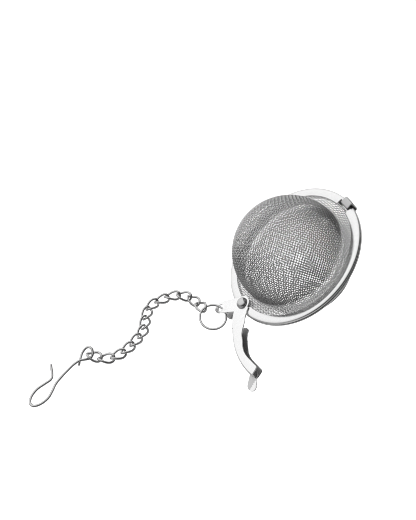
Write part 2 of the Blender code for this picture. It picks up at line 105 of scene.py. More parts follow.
# A plate joined to another of the same thickness lies this far inside its faces
UNION_INSET = 0.01
LATCH_ANGLE = 7.6
RIVET_RADIUS = 27.6
LEVER_FACE_HEIGHT = 1.57
LEVER_OPEN_ANGLE = 55.5
LEVER_EYE_RADIUS = 3.2
LEVER_OUTER_RADIUS = 30.75
LEVER_BEND = 0.85
LEVER_START_ANGLE = 19.5
LEVER_END_ANGLE = 67.5
LEVER_STEPS = 96
LEVER_ROOT_ANGLES = (3.0, 21.0)
LEVER_ROOT_STEPS = 12
# Inner radius of the closed lever round the ball, at angles from the rivet's side onwards
LEVER_INNER_EDGE = [(3.0, 24.2), (16.0, 24.6), (32.0, 26.3), (47.0, 27.3), (61.0, 26.8), (67.5, 26.8)]
LEVER_START_ROUND = 2.4
LEVER_END_ROUND = 1.2
ARM_ANGLE = -41.7
ARM_LENGTH = 11.4
ARM_END_RADIUS = 2.45
ARM_HOLE_DISTANCE = 10.85
ARM_HOLE_RADIUS = 1.45
TONGUE_LENGTH = 5.6
TONGUE_ANGLE = 104.0
TONGUE_INSET = 1.4
TONGUE_SETBACK = 5.5
TONGUE_SLOPES = (14.0, -12.0)
TONGUE_DISH = 0.04
TONGUE_THINNING = 0.03
TONGUE_TIP = 0.05
TONGUE_NECK_WIDTH = 3.2
TONGUE_END_RADIUS = 2.1
REAR_TAB_ANGLE = -32.0
REAR_TAB_LENGTH = 7.6
REAR_TAB_EYE_RADIUS = 3.0
REAR_TAB_END_RADIUS = 2.9
RIVET_HEAD_RADIUS = 2.4
RIVET_HEAD_HEIGHT = 1.6
RIVET_GAP = 0.05
RIVET_EDGE_ROUND = 0.15

# Ring, chain and hook
WIRE_SIDES = 16
RING_RADIUS = 5.35
RING_WIRE = 0.9
LINK_HALF_LENGTH = 3.12
LINK_HALF_WIDTH = 1.92
LINK_TWIST = 47.0
LINK_FULLNESS = 0.8
LINK_COUNT = 14
CHAIN_WIRE = 0.97
HOOK_WIRE = 1.0
HOOK_ROUTE = [
    (-83.3, -35.9, 0.56), (-83.2, -33.4, 0.56), (-82.5, -30.4, 1.3), (-80.9, -28.9, 2.5),
    (-79.1, -29.4, 2.9), (-78.3, -31.2, 1.9), (-79.2, -32.8, 0.85), (-81.2, -33.6, 1.1),
    (-83.3, -34.7, 1.75), (-85.4, -36.4, 1.45), (-87.3, -38.4, 0.8), (-89.2, -41.0, 0.55),
    (-91.0, -44.3, 0.55), (-91.9, -47.6, 0.55),
    (-93.0, -50.6, 0.55), (-95.2, -53.0, 0.55), (-97.8, -54.0, 0.55), (-99.4, -52.6, 0.55),
    (-99.3, -49.8, 0.55), (-97.8, -46.8, 0.55), (-95.4, -44.5, 0.55), (-93.2, -42.4, 0.55),
    (-93.0, -40.2, 0.7), (-94.0, -36.2, 1.6),
]

# Camera, from the point of the table below the ball's centre
CAMERA_PLACE = (-33.47, -196.32, 232.21)
CAMERA_ELEVATION = 47.0
CAMERA_LENS = 50.0
CAMERA_SENSOR = 36.0

# Steel
SCRATCH_HEIGHT = 0.05
POLISH_PATCH_SCALE = 140.0
TARNISH_SHARE = 0.9

# Studio: the tent's brightest direction, and its light from the side facing away to that side
TENT_DIRECTION = (-0.55, 0.50, 0.66)
TENT_LIGHT = ((0.0, 0.03), (0.5, 0.04), (0.64, 0.18), (0.80, 0.85), (1.0, 1.0))
TENT_STRENGTH = 1.35
TABLE_DIRECTION = (-0.72, 0.69, 0.0)
TABLE_LIGHT = ((0.0, 0.40), (0.4, 0.45), (0.7, 0.35), (0.86, 0.30), (0.95, 0.8), (1.0, 0.85))
TABLE_EDGE = (-0.04, 0.10)
KEY_PLACE = (0.0, -0.75, 0.85)
KEY_SIZE = (0.35, 0.35)
KEY_POWER = 9.0
FLOOR_REACH = 1500.0
FLOOR_TOP = -0.01
FLOOR_BOTTOM = -20.0
FLOOR_GREY = 0.9
FLOOR_ROUGHNESS = 0.9
FLOOR_GLOW = 1.0

JOINTS = {joint["name"]: joint for joint in frame["joints"]}


def joint_point(name):
    return Vector(JOINTS[name]["pos_m"])


def joint_axis(name):
    return Vector(JOINTS[name]["axis"]).normalized()


def find_ball():
    """The ball's frame: x from the hinge to the latch, z out of the front half."""
    up = joint_axis("latch_swing")
    side = -joint_axis("half_hinge")
    ahead = side.cross(up).normalized()
    side = up.cross(ahead)
    centre = joint_point("half_hinge") + (HINGE_RADIUS * ahead - HINGE_HEIGHT * up) * MM
    return Matrix.Translation(centre) @ Matrix((ahead, side, up)).transposed().to_4x4()


BALL = find_ball()
TABLE_POINT = Vector((BALL.translation.x, BALL.translation.y, 0.0))


# Materials

def new_steel(name, grey, roughness, spread, scratch_scale, scratch_depth):
    """Stainless steel: fine scratches, uneven polish and faint tarnish."""
    material = bpy.data.materials.new(name)
    material.use_nodes = True
    nodes = material.node_tree.nodes
    links = material.node_tree.links
    shader = nodes["Principled BSDF"]
    shader.inputs["Metallic"].default_value = 1.0
    place = nodes.new("ShaderNodeTexCoord")

    scratches = nodes.new("ShaderNodeTexNoise")
    scratches.inputs["Scale"].default_value = scratch_scale
    scratches.inputs["Detail"].default_value = 6.0
    scratches.inputs["Roughness"].default_value = 0.65
    links.new(place.outputs["Object"], scratches.inputs["Vector"])

    clouds = nodes.new("ShaderNodeTexNoise")
    clouds.inputs["Scale"].default_value = POLISH_PATCH_SCALE
    clouds.inputs["Detail"].default_value = 3.0
    links.new(place.outputs["Object"], clouds.inputs["Vector"])

    polish = nodes.new("ShaderNodeMapRange")
    polish.inputs["To Min"].default_value = roughness - spread
    polish.inputs["To Max"].default_value = roughness + spread
    links.new(clouds.outputs["Fac"], polish.inputs["Value"])
    links.new(polish.outputs["Result"], shader.inputs["Roughness"])

    tarnish = nodes.new("ShaderNodeMix")
    tarnish.data_type = "RGBA"
    for socket, shade in (("A", grey * TARNISH_SHARE), ("B", grey)):
        tarnish.inputs[socket].default_value = (shade, shade, shade, 1.0)
    links.new(scratches.outputs["Fac"], tarnish.inputs["Factor"])
    links.new(tarnish.outputs["Result"], shader.inputs["Base Color"])

    bump = nodes.new("ShaderNodeBump")
    bump.inputs["Strength"].default_value = scratch_depth
    bump.inputs["Distance"].default_value = SCRATCH_HEIGHT * MM
    links.new(scratches.outputs["Fac"], bump.inputs["Height"])
    links.new(bump.outputs["Normal"], shader.inputs["Normal"])
    return material


def paint_light_and_shade_by_height(material, stops):
    """Paints light and shade into a material's colour by its distance from the parting plane; stops are
    (millimetres, share).
    """
    nodes = material.node_tree.nodes
    links = material.node_tree.links
    shader = nodes["Principled BSDF"]
    colour = shader.inputs["Base Color"].links[0].from_socket
    axis = BALL.to_3x3() @ Vector((0.0, 0.0, 1.0))
    place = nodes.new("ShaderNodeTexCoord")
    height = nodes.new("ShaderNodeVectorMath")
    height.operation = "DOT_PRODUCT"
    height.inputs[1].default_value = axis
    links.new(place.outputs["Object"], height.inputs[0])
    offset = nodes.new("ShaderNodeMath")
    offset.operation = "SUBTRACT"
    offset.inputs[1].default_value = BALL.translation.dot(axis)
    links.new(height.outputs["Value"], offset.inputs[0])
    distance = nodes.new("ShaderNodeMath")
    distance.operation = "ABSOLUTE"
    links.new(offset.outputs["Value"], distance.inputs[0])
    share = nodes.new("ShaderNodeMapRange")
    share.inputs["From Max"].default_value = stops[-1][0] * MM
    links.new(distance.outputs["Value"], share.inputs["Value"])
    ramp = nodes.new("ShaderNodeValToRGB")
    set_ramp(ramp.color_ramp, [(height_mm / stops[-1][0], value) for height_mm, value in stops])
    links.new(share.outputs["Result"], ramp.inputs["Fac"])
    product = nodes.new("ShaderNodeMix")
    product.data_type = "RGBA"
    product.blend_type = "MULTIPLY"
    product.inputs["Factor"].default_value = 1.0
    links.new(colour, product.inputs["A"])
    links.new(ramp.outputs["Color"], product.inputs["B"])
    links.new(product.outputs["Result"], shader.inputs["Base Color"])


def set_ramp(color_ramp, stops):
    """Grey stops (place from 0 to 1, brightness) on a colour ramp."""
    ends = color_ramp.elements
    for end, (position, brightness) in zip((ends[0], ends[1]), (stops[0], stops[-1])):
        end.position = position
        end.color = (brightness, brightness, brightness, 1.0)
    for position, brightness in stops[1:-1]:
        ends.new(position).color = (brightness, brightness, brightness, 1.0)


# Darker, rougher steel for the hinge clip and the rear tab; on the rear tab its darker grey is painted shade
DARK_STRIP_STEEL = new_steel("dark_strip", grey=0.46, roughness=0.34, spread=0.04,
                        scratch_scale=900.0, scratch_depth=0.10)
SHEET_STEEL = new_steel("brushed_sheet", grey=0.78, roughness=0.24, spread=0.06,
                        scratch_scale=900.0, scratch_depth=0.10)
# Rougher steel whose darker grey is painted shade inside the lever's folded channel
FOLD_SHADE_STEEL = new_steel("fold_painted_shade", grey=0.52, roughness=0.45, spread=0.05,
                       scratch_scale=900.0, scratch_depth=0.10)
RIM_STEEL = new_steel("rolled_band", grey=0.72, roughness=0.20, spread=0.05,
                      scratch_scale=700.0, scratch_depth=0.08)
MESH_STEEL = new_steel("woven_wire", grey=0.62, roughness=0.22, spread=0.05,
                       scratch_scale=2500.0, scratch_depth=0.05)
# Painted light and shade on the woven wire: darker on the wall, brighter at the brim and the pole
paint_light_and_shade_by_height(MESH_STEEL, MESH_PAINTED_LIGHT_AND_SHADE)
WIRE_STEEL = new_steel("drawn_wire", grey=0.52, roughness=0.22, spread=0.04,
                       scratch_scale=1500.0, scratch_depth=0.06)


# Mesh helpers

def add_piece(name, mesh, material, body, slot, *nodes, matrix):
    """A finished piece: material, place in the row frame, body and the CAD nodes it stands for; the slot is
    not used.
    """
    piece = bpy.data.objects.new(name, mesh)
    bpy.context.scene.collection.objects.link(piece)
    mesh.materials.clear()
    mesh.materials.append(material)
    mesh.transform(matrix)
    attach(piece, body)
    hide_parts(*nodes)


def unit(vectors):
    return vectors / np.linalg.norm(vectors, axis=-1, keepdims=True)


def mesh_from(name, points, faces):
    mesh = bpy.data.meshes.new(name)
    mesh.from_pydata([tuple(point) for point in points], [], faces)
    return mesh


def grid_faces(rows, columns, offset=0, closed_rows=False):
    """Quads between neighbouring points of rows that each run round a closed section."""
    row_count = rows if closed_rows else rows - 1
    row, column = np.meshgrid(np.arange(row_count), np.arange(columns), indexing="ij")
    next_row = (row + 1) % rows
    next_column = (column + 1) % columns
    quads = np.stack([row * columns + column, row * columns + next_column,
                      next_row * columns + next_column, next_row * columns + column], axis=-1)
    return quads.reshape(-1, 4) + offset


def sweep_frames(points, closed):
    """Two directions across the wire at each point, turned as little as possible along it."""
    if closed:
        tangents = np.roll(points, -1, axis=0) - np.roll(points, 1, axis=0)
    else:
        tangents = np.gradient(points, axis=0)
    tangents = unit(tangents)
    first = [unit(np.cross(tangents[0], (0.0, 0.0, 1.0)))]
    for tangent in tangents[1:]:
        first.append(unit(first[-1] - tangent * np.dot(first[-1], tangent)))
    first = np.array(first)
    if closed:
        end = unit(first[-1] - tangents[0] * np.dot(first[-1], tangents[0]))
        slip = math.atan2(np.dot(np.cross(first[0], end), tangents[0]), np.dot(first[0], end))
        second = np.cross(tangents, first)
        turn = -slip * np.arange(len(points))[:, None] / len(points)
        first = first * np.cos(turn) + second * np.sin(turn)
    return first, np.cross(tangents, first)


def tube_mesh(name, points, diameter, sides, closed):
    """A round wire along the points; an open wire gets slightly bevelled, cut ends."""
    points = np.asarray(points, float)
    bevel = 0.0 if closed else 0.12 * diameter
    if not closed:
        start = points[0] + unit(points[1] - points[0]) * bevel
        end = points[-1] + unit(points[-2] - points[-1]) * bevel
        points = np.vstack([points[:1], start, points[1:-1], end, points[-1:]])
    radius = np.full(len(points), 0.5 * diameter)
    radius[0] = radius[-1] = 0.5 * diameter - bevel
    first, second = sweep_frames(points, closed)
    angles = 2 * math.pi * np.arange(sides) / sides
    circle = (np.cos(angles)[None, :, None] * first[:, None, :]
              + np.sin(angles)[None, :, None] * second[:, None, :])
    verts = (points[:, None, :] + radius[:, None, None] * circle).reshape(-1, 3)
    faces = [tuple(quad) for quad in grid_faces(len(points), sides, closed_rows=closed)]
    if not closed:
        last = (len(points) - 1) * sides
        faces.append(tuple(range(sides - 1, -1, -1)))
        faces.append(tuple(last + side for side in range(sides)))
    mesh = mesh_from(name, verts * MM, faces)
    fix_normals(mesh)
    mesh.shade_smooth()
    if not closed:
        mesh.set_sharp_from_angle(angle=math.radians(50))
    return mesh


def fix_normals(mesh):
    bm = bmesh.new()
    bm.from_mesh(mesh)
    bmesh.ops.recalc_face_normals(bm, faces=bm.faces)
    bm.to_mesh(mesh)
    bm.free()


def loft_mesh(name, rows):
    """A solid through rows of points (millimetres), each row a closed section, with flat ends."""
    count = len(rows[0])
    last = (len(rows) - 1) * count
    faces = [tuple(quad) for quad in grid_faces(len(rows), count)]
    faces.append(tuple(range(count)))
    faces.append(tuple(last + index for index in range(count)))
    mesh = mesh_from(name, [(x * MM, y * MM, z * MM) for row in rows for x, y, z in row], faces)
    fix_normals(mesh)
    return mesh


def revolve(name, profile, steps, angle=35.0):
    """A closed section (r, z) turned round z. Points with r = 0 close a pole."""
    profile = np.asarray(profile, float)
    turns = 2 * math.pi * np.arange(steps) / steps
    ring = np.stack([np.outer(np.cos(turns), profile[:, 0]), np.outer(np.sin(turns), profile[:, 0]),
                     np.broadcast_to(profile[:, 1], (steps, len(profile)))], axis=-1)
    faces = [tuple(quad) for quad in grid_faces(steps, len(profile), closed_rows=True)]
    mesh = mesh_from(name, ring.reshape(-1, 3) * MM, faces)
    bm = bmesh.new()
    bm.from_mesh(mesh)
    bmesh.ops.remove_doubles(bm, verts=bm.verts, dist=1e-7)
    bmesh.ops.dissolve_degenerate(bm, edges=bm.edges, dist=1e-8)
    bmesh.ops.recalc_face_normals(bm, faces=bm.faces)
    bm.to_mesh(mesh)
    bm.free()
    mesh.shade_smooth()
    mesh.set_sharp_from_angle(angle=math.radians(angle))
    return mesh


def arc(centre, radius, start, end, steps):
    """Points (x, y) of an arc, angles in degrees."""
    angles = [math.radians(start + (end - start) * step / steps) for step in range(steps + 1)]
    return [(centre[0] + radius * math.cos(a), centre[1] + radius * math.sin(a)) for a in angles]


def polar(radius, degrees):
    return (radius * math.cos(math.radians(degrees)), radius * math.sin(math.radians(degrees)))


def turn_z(point, degrees, centre=(0.0, 0.0)):
    angle = math.radians(degrees)
    x, y = point[0] - centre[0], point[1] - centre[1]
    return (centre[0] + x * math.cos(angle) - y * math.sin(angle),
            centre[1] + x * math.sin(angle) + y * math.cos(angle))


def plate_mesh(name, outline, low, thickness):
    """A flat plate of a closed outline (x, y), from a height upwards."""
    bm = bmesh.new()
    bottom = [bm.verts.new((x * MM, y * MM, low * MM)) for x, y in outline]
    top = [bm.verts.new((x * MM, y * MM, (low + thickness) * MM)) for x, y in outline]
    bm.faces.new(list(reversed(bottom)))
    bm.faces.new(top)
    count = len(outline)
    for index in range(count):
        after = (index + 1) % count
        bm.faces.new((bottom[index], bottom[after], top[after], top[index]))
    bmesh.ops.recalc_face_normals(bm, faces=bm.faces)
    mesh = bpy.data.meshes.new(name)
    bm.to_mesh(mesh)
    bm.free()
    return mesh


def baked(mesh, steps):
    """The mesh after a list of modifiers: each is (kind, settings) or (operation, other mesh)."""
    work = bpy.data.objects.new("work", mesh)
    bpy.context.scene.collection.objects.link(work)
    others = []
    for kind, detail in steps:
        if kind in ("UNION", "DIFFERENCE"):
            other = bpy.data.objects.new("other", detail)
            bpy.context.scene.collection.objects.link(other)
            others.append(other)
            modifier = work.modifiers.new(kind, "BOOLEAN")
            modifier.operation = kind
            modifier.solver = "EXACT"
            modifier.object = other
        else:
            modifier = work.modifiers.new(kind, kind)
            for key, value in detail.items():
                setattr(modifier, key, value)
    depsgraph = bpy.context.evaluated_depsgraph_get()
    result = bpy.data.meshes.new_from_object(work.evaluated_get(depsgraph))
    for item in [work] + others:
        bpy.data.objects.remove(item, do_unlink=True)
    return result


# Modifier settings that take the sharpness off cut sheet edges
ROUNDED = ("BEVEL", {"width": EDGE_ROUND * MM, "segments": 2, "limit_method": "ANGLE",
                     "angle_limit": math.radians(40), "use_clamp_overlap": True,
                     "miter_outer": "MITER_ARC"})


def finish_sheet(mesh, angle=30.0):
    """The mesh shaded smooth, but for edges sharper than the angle."""
    mesh.shade_smooth()
    mesh.set_sharp_from_angle(angle=math.radians(angle))
    return mesh


def smooth_route(points, samples):
    """A Catmull-Rom curve through the points, as a dense list of points."""
    points = [Vector(p) for p in points]
    ends = [2 * points[0] - points[1]] + points + [2 * points[-1] - points[-2]]
    curve = []
    for a, b, c, d in zip(ends, ends[1:], ends[2:], ends[3:]):
        for step in range(samples):
            t = step / samples
            curve.append(0.5 * (2 * b + (c - a) * t + (2 * a - 5 * b + 4 * c - d) * t * t
                                + (3 * b - a - 3 * c + d) * t ** 3))
    curve.append(points[-1])
    return curve


# Woven bowls

def bowl_surface(distance):
    """Radius, height and outward slope of the bowl at a distance along it from its pole."""
    on_dome = np.clip(distance / BOWL_RADIUS, 0.0, math.pi / 2)
    on_wall = np.clip(distance - DOME_END, 0.0, WALL_END - DOME_END)
    on_fillet = np.clip((distance - WALL_END) / BOWL_FILLET, 0.0, math.pi / 2)
    on_brim = np.maximum(distance - FILLET_END, 0.0)
    radius = BOWL_RADIUS * np.sin(on_dome) + BOWL_FILLET * (1 - np.cos(on_fillet)) + on_brim
    height = (BOWL_CENTRE_HEIGHT + BOWL_RADIUS * np.cos(on_dome) - on_wall
              - BOWL_FILLET * np.sin(on_fillet))
    lean = np.where(distance < WALL_END, math.pi / 2 - on_dome, on_fillet)
    return radius, height, lean


def wire_on_bowl(number, crosswise):
    """The rings of points round one woven wire, and how many rings there are."""
    across = (number + 0.5) * MESH_PITCH
    half = math.sqrt(BRIM_END ** 2 - across ** 2)
    steps = int(half / MESH_PITCH * 2)
    along = np.concatenate([[-half], np.arange(-steps, steps + 1) * MESH_PITCH / 2, [half]])
    wave = np.cos(math.pi * (along / MESH_PITCH - 0.5)) * (1 if number % 2 else -1)
    across = np.full_like(along, across)
    if crosswise:
        x, y = along, across
        wave = -wave
    else:
        x, y = across, along
    around = np.arctan2(y, x) + math.radians(MESH_ANGLE)
    radius, height, lean = bowl_surface(np.hypot(x, y))
    outward = np.stack([np.cos(lean) * np.cos(around), np.cos(lean) * np.sin(around), np.sin(lean)], axis=1)
    points = np.stack([radius * np.cos(around), radius * np.sin(around), height], axis=1)
    points = points + outward * (0.5 * MESH_WIRE * wave)[:, None]
    tangent = unit(np.gradient(points, axis=0))
    sideways = unit(np.cross(tangent, outward))
    upward = np.cross(sideways, tangent)
    angles = 2 * math.pi * np.arange(MESH_SIDES) / MESH_SIDES
    rings = (points[:, None, :] + 0.5 * MESH_WIRE
             * (np.cos(angles)[None, :, None] * upward[:, None, :]
                + np.sin(angles)[None, :, None] * sideways[:, None, :]))
    return rings.reshape(-1, 3), len(points)


def weave(name, side, crosswise):
    """One set of the bowl's woven wires: each passes over and under the wires that cross it."""
    count = int(BRIM_END / MESH_PITCH)
    wires = []
    quads = []
    total = 0
    for number in range(-count, count + 1):
        if abs((number + 0.5) * MESH_PITCH) <= BRIM_END - MESH_MARGIN:
            points, rings = wire_on_bowl(number, crosswise)
            wires.append(points)
            quads.append(grid_faces(rings, MESH_SIDES, total))
            total += len(points)
    verts = np.concatenate(wires)
    verts[:, 2] *= side
    faces = np.concatenate(quads)
    if side > 0:
        faces = faces[:, ::-1]
    mesh = bpy.data.meshes.new(name)
    mesh.vertices.add(len(verts))
    mesh.vertices.foreach_set("co", (verts * MM).ravel())
    mesh.loops.add(faces.size)
    mesh.loops.foreach_set("vertex_index", faces.ravel())
    mesh.polygons.add(len(faces))
    mesh.polygons.foreach_set("loop_start", np.arange(0, faces.size, 4))
    mesh.polygons.foreach_set("loop_total", np.full(len(faces), 4))
    mesh.update(calc_edges=True)
    mesh.shade_smooth()
    return mesh


def make_bowls():
    for half, side in (("front", 1), ("rear", -1)):
        for kind, crosswise in (("warp", False), ("weft", True)):
            mesh = weave(f"{half}_mesh_{kind}", side, crosswise)
            add_piece(f"{half}_mesh_{kind}", mesh, MESH_STEEL, f"{half}_half", "woven_steel",
                      f"{half}_bowl", matrix=BALL)


# Rims

def rim_section(side):
    """The rolled band's section: a sloping inner face, a crest and a round outer side."""
    face = RIM_FACE_HEIGHT
    corner = RIM_CORNER
    crest = RIM_CREST_HEIGHT - RIM_CREST_DIP
    points = [(RIM_CREST_INNER, crest)]
    slope = math.degrees(math.atan2(crest - RIM_LIP_HEIGHT, RIM_CREST_INNER - RIM_INNER_RADIUS))
    points += arc((RIM_INNER_RADIUS + corner, RIM_LIP_HEIGHT - corner), corner, 90 + slope, 180, 5)
    points += arc((RIM_INNER_RADIUS + corner, face + corner), corner, 180, 270, 4)
    points += arc((RIM_OUTER_RADIUS - corner, face + corner), corner, 270, 360, 4)
    reach = RIM_OUTER_RADIUS - RIM_CREST_OUTER
    rise = RIM_CREST_HEIGHT - RIM_FLAT_HEIGHT
    for step in range(13):
        angle = math.radians(90 * step / 12)
        points.append((RIM_CREST_OUTER + reach * math.cos(angle), RIM_FLAT_HEIGHT + rise * math.sin(angle)))
    return [(x, side * z) for x, z in points]


def make_rims():
    front = revolve("front_band", rim_section(1), RIM_STEPS)
    slot_ends = (-HINGE_SLOT_WIDTH / 2 - HINGE_SLOT_SPARE, HINGE_SLOT_WIDTH / 2)
    outer = -HINGE_SLOT_RADIUS
    inner = -HINGE_SLOT_INNER_RADIUS
    slot = plate_mesh("slot", [(outer, slot_ends[0]), (inner, slot_ends[0]),
                               (inner, slot_ends[1]), (outer, slot_ends[1])], -1.0, 4.0)
    front = finish_sheet(baked(front, [("DIFFERENCE", slot)]), 35.0)
    add_piece("front_band", front, RIM_STEEL, "front_half", "sheet_steel", "front_rim", matrix=BALL)
    rear = revolve("rear_band", rim_section(-1), RIM_STEPS)
    add_piece("rear_band", rear, RIM_STEEL, "rear_half", "sheet_steel", "rear_rim", matrix=BALL)


# Hinge strap

def strip_mesh(name, path, width, thickness):
    """Bent sheet: the path (r, z) given a thickness, and a width across it, with round edges."""
    path = np.asarray(path, float)
    tangent = unit(np.gradient(path, axis=0))
    normal = np.stack([-tangent[:, 1], tangent[:, 0]], axis=1)
    corner = STRAP_EDGE_ROUND
    section = []
    for centre, start in (((width / 2 - corner, thickness / 2 - corner), 0),
                          ((-width / 2 + corner, thickness / 2 - corner), 90),
                          ((-width / 2 + corner, -thickness / 2 + corner), 180),
                          ((width / 2 - corner, -thickness / 2 + corner), 270)):
        section += arc(centre, corner, start, start + 90, 4)
    rows = [[(-(r + nr * up), across, z + nz * up) for across, up in section]
            for (r, z), (nr, nz) in zip(path, normal)]
    return finish_sheet(loft_mesh(name, rows), 40.0)


def make_strap():
    """A clip with its foot under the rear rim and a leaning flat top over the front rim's bar."""
    outer = HINGE_RADIUS + STRAP_LOOP_RADIUS
    path = [(STRAP_FOOT_RADIUS, STRAP_FOOT_HEIGHT),
            (STRAP_FOOT_RADIUS + STRAP_FOOT_LENGTH, STRAP_FOOT_HEIGHT)]
    path += arc((outer - STRAP_CORNER, STRAP_FOOT_HEIGHT + STRAP_CORNER), STRAP_CORNER, -90, 0, 8)
    inner = HINGE_RADIUS - STRAP_LOOP_RADIUS - STRAP_LOOP_SPARE
    lean = math.radians(STRAP_LEAN)
    top = HINGE_HEIGHT + (STRAP_LOOP_RADIUS + STRAP_TOP_SPARE) / math.cos(lean)
    corner = STRAP_TOP_CORNER
    for centre_r, start, end in ((outer - corner, 0, 90 + STRAP_LEAN),
                                 (inner + corner, 90 + STRAP_LEAN, 180)):
        centre_z = top + (centre_r - HINGE_RADIUS) * math.tan(lean) - corner / math.cos(lean)
        path += arc((centre_r, centre_z), corner, start, end, 8)
    path.append((inner, STRAP_END_HEIGHT))
    mesh = strip_mesh("hinge_clip", path, STRAP_WIDTH, SHEET)
    add_piece("hinge_clip", mesh, DARK_STRIP_STEEL, "rear_half", "sheet_steel", "hinge_strap", matrix=BALL)


# Latch

def capsule_outline(radius0, radius1, length):
    """Two round ends of different radius, joined by straight sides."""
    lean = math.degrees(math.asin((radius0 - radius1) / length))
    return (arc((0.0, 0.0), radius0, 90 - lean, 270 + lean, 24)
            + arc((length, 0.0), radius1, -90 + lean, 90 - lean, 24))


def inner_edge(angle):
    """The lever's inner radius round the ball at an angle."""
    for (angle0, radius0), (angle1, radius1) in zip(LEVER_INNER_EDGE, LEVER_INNER_EDGE[1:]):
        if angle <= angle1:
            share = min(max((angle - angle0) / (angle1 - angle0), 0.0), 1.0)
            return radius0 + (radius1 - radius0) * 0.5 * (1 - math.cos(math.pi * share))
    return LEVER_INNER_EDGE[-1][1]


def corner_cut(angle, end_angle, corner):
    """How far a round corner takes the edge back, at an angle beside the end it rounds."""
    distance = min(abs(angle - end_angle) * math.radians(1.0) * LEVER_OUTER_RADIUS, corner)
    return corner - math.sqrt(corner ** 2 - (corner - distance) ** 2)


def channel_mesh(name):
    """The lever's folded channel: a rounded C section swept round the ball, closed position."""
    back = -LEVER_FACE_HEIGHT - SHEET
    front = LEVER_FACE_HEIGHT + SHEET
    bend = LEVER_OUTER_RADIUS - LEVER_BEND
    thin = LEVER_BEND - SHEET
    rows = []
    for step in range(LEVER_STEPS + 1):
        angle = LEVER_START_ANGLE + (LEVER_END_ANGLE - LEVER_START_ANGLE) * step / LEVER_STEPS
        inner = inner_edge(angle) + corner_cut(angle, LEVER_END_ANGLE, LEVER_END_ROUND)
        behind = inner + corner_cut(angle, LEVER_START_ANGLE, LEVER_START_ROUND)
        section = [(inner, front)]
        section += arc((bend, front - LEVER_BEND), LEVER_BEND, 90, 0, 6)
        section += arc((bend, back + LEVER_BEND), LEVER_BEND, 0, -90, 6)
        section += [(behind, back), (behind, back + SHEET)]
        section += arc((bend, back + LEVER_BEND), thin, -90, 0, 3)
        section += arc((bend, front - LEVER_BEND), thin, 0, 90, 3)
        section += [(inner, front - SHEET)]
        rows.append([(*polar(r, angle), z) for r, z in section])
    return loft_mesh(name, rows)


def tongue_mesh(name):
    """The thumb tongue: a narrow neck that widens to a round end, bent over and dished."""
    reach = TONGUE_LENGTH + TONGUE_END_RADIUS
    start, end = (math.tan(math.radians(slope)) for slope in TONGUE_SLOPES)
    thickness = SHEET - 2 * TONGUE_THINNING
    neck = TONGUE_NECK_WIDTH / 2
    rows = []
    for distance in reach * np.sin(np.linspace(0.0, math.pi / 2, 33)):
        half = neck + (TONGUE_END_RADIUS - neck) * min(distance / TONGUE_LENGTH, 1.0)
        if distance > TONGUE_LENGTH:
            squared = TONGUE_END_RADIUS ** 2 - (distance - TONGUE_LENGTH) ** 2
            half = math.sqrt(max(squared, TONGUE_TIP ** 2))
        height = TONGUE_THINNING + start * distance + (end - start) * distance ** 2 / (2 * reach)
        bottom = [(distance, side * half, height + TONGUE_DISH * (side * half) ** 2)
                  for side in np.linspace(-1.0, 1.0, 9)]
        rows.append([(x, y, z + thickness) for x, y, z in bottom] + bottom[::-1])
    return loft_mesh(name, rows)


def in_shaded_fold(centre, normal):
    """Whether a face of the closed lever looks into the folded channel, which gets a rougher steel with a
    darker grey as painted shade.
    """
    radial = Vector((centre.x, centre.y, 0.0)).normalized()
    angle = math.degrees(math.atan2(centre.y, centre.x))
    along_channel = LEVER_START_ANGLE - 1.0 < angle < LEVER_END_ANGLE + 1.0
    between = abs(centre.z) < (LEVER_FACE_HEIGHT + 0.05) * MM
    faces_in = normal.dot(radial) < -0.5 or normal.z * centre.z < -0.5 * abs(centre.z)
    return along_channel and between and faces_in


def lever_root():
    """The flat plate between the lever's eye and its channel, closed position."""
    start, end = LEVER_ROOT_ANGLES
    angles = [start + (end - start) * step / LEVER_ROOT_STEPS for step in range(LEVER_ROOT_STEPS + 1)]
    outline = [polar(LEVER_OUTER_RADIUS - UNION_INSET, angle) for angle in angles]
    outline += [polar(inner_edge(angle) + UNION_INSET, angle) for angle in reversed(angles)]
    return plate_mesh("root", outline, LEVER_FACE_HEIGHT + UNION_INSET, SHEET - 2 * UNION_INSET)


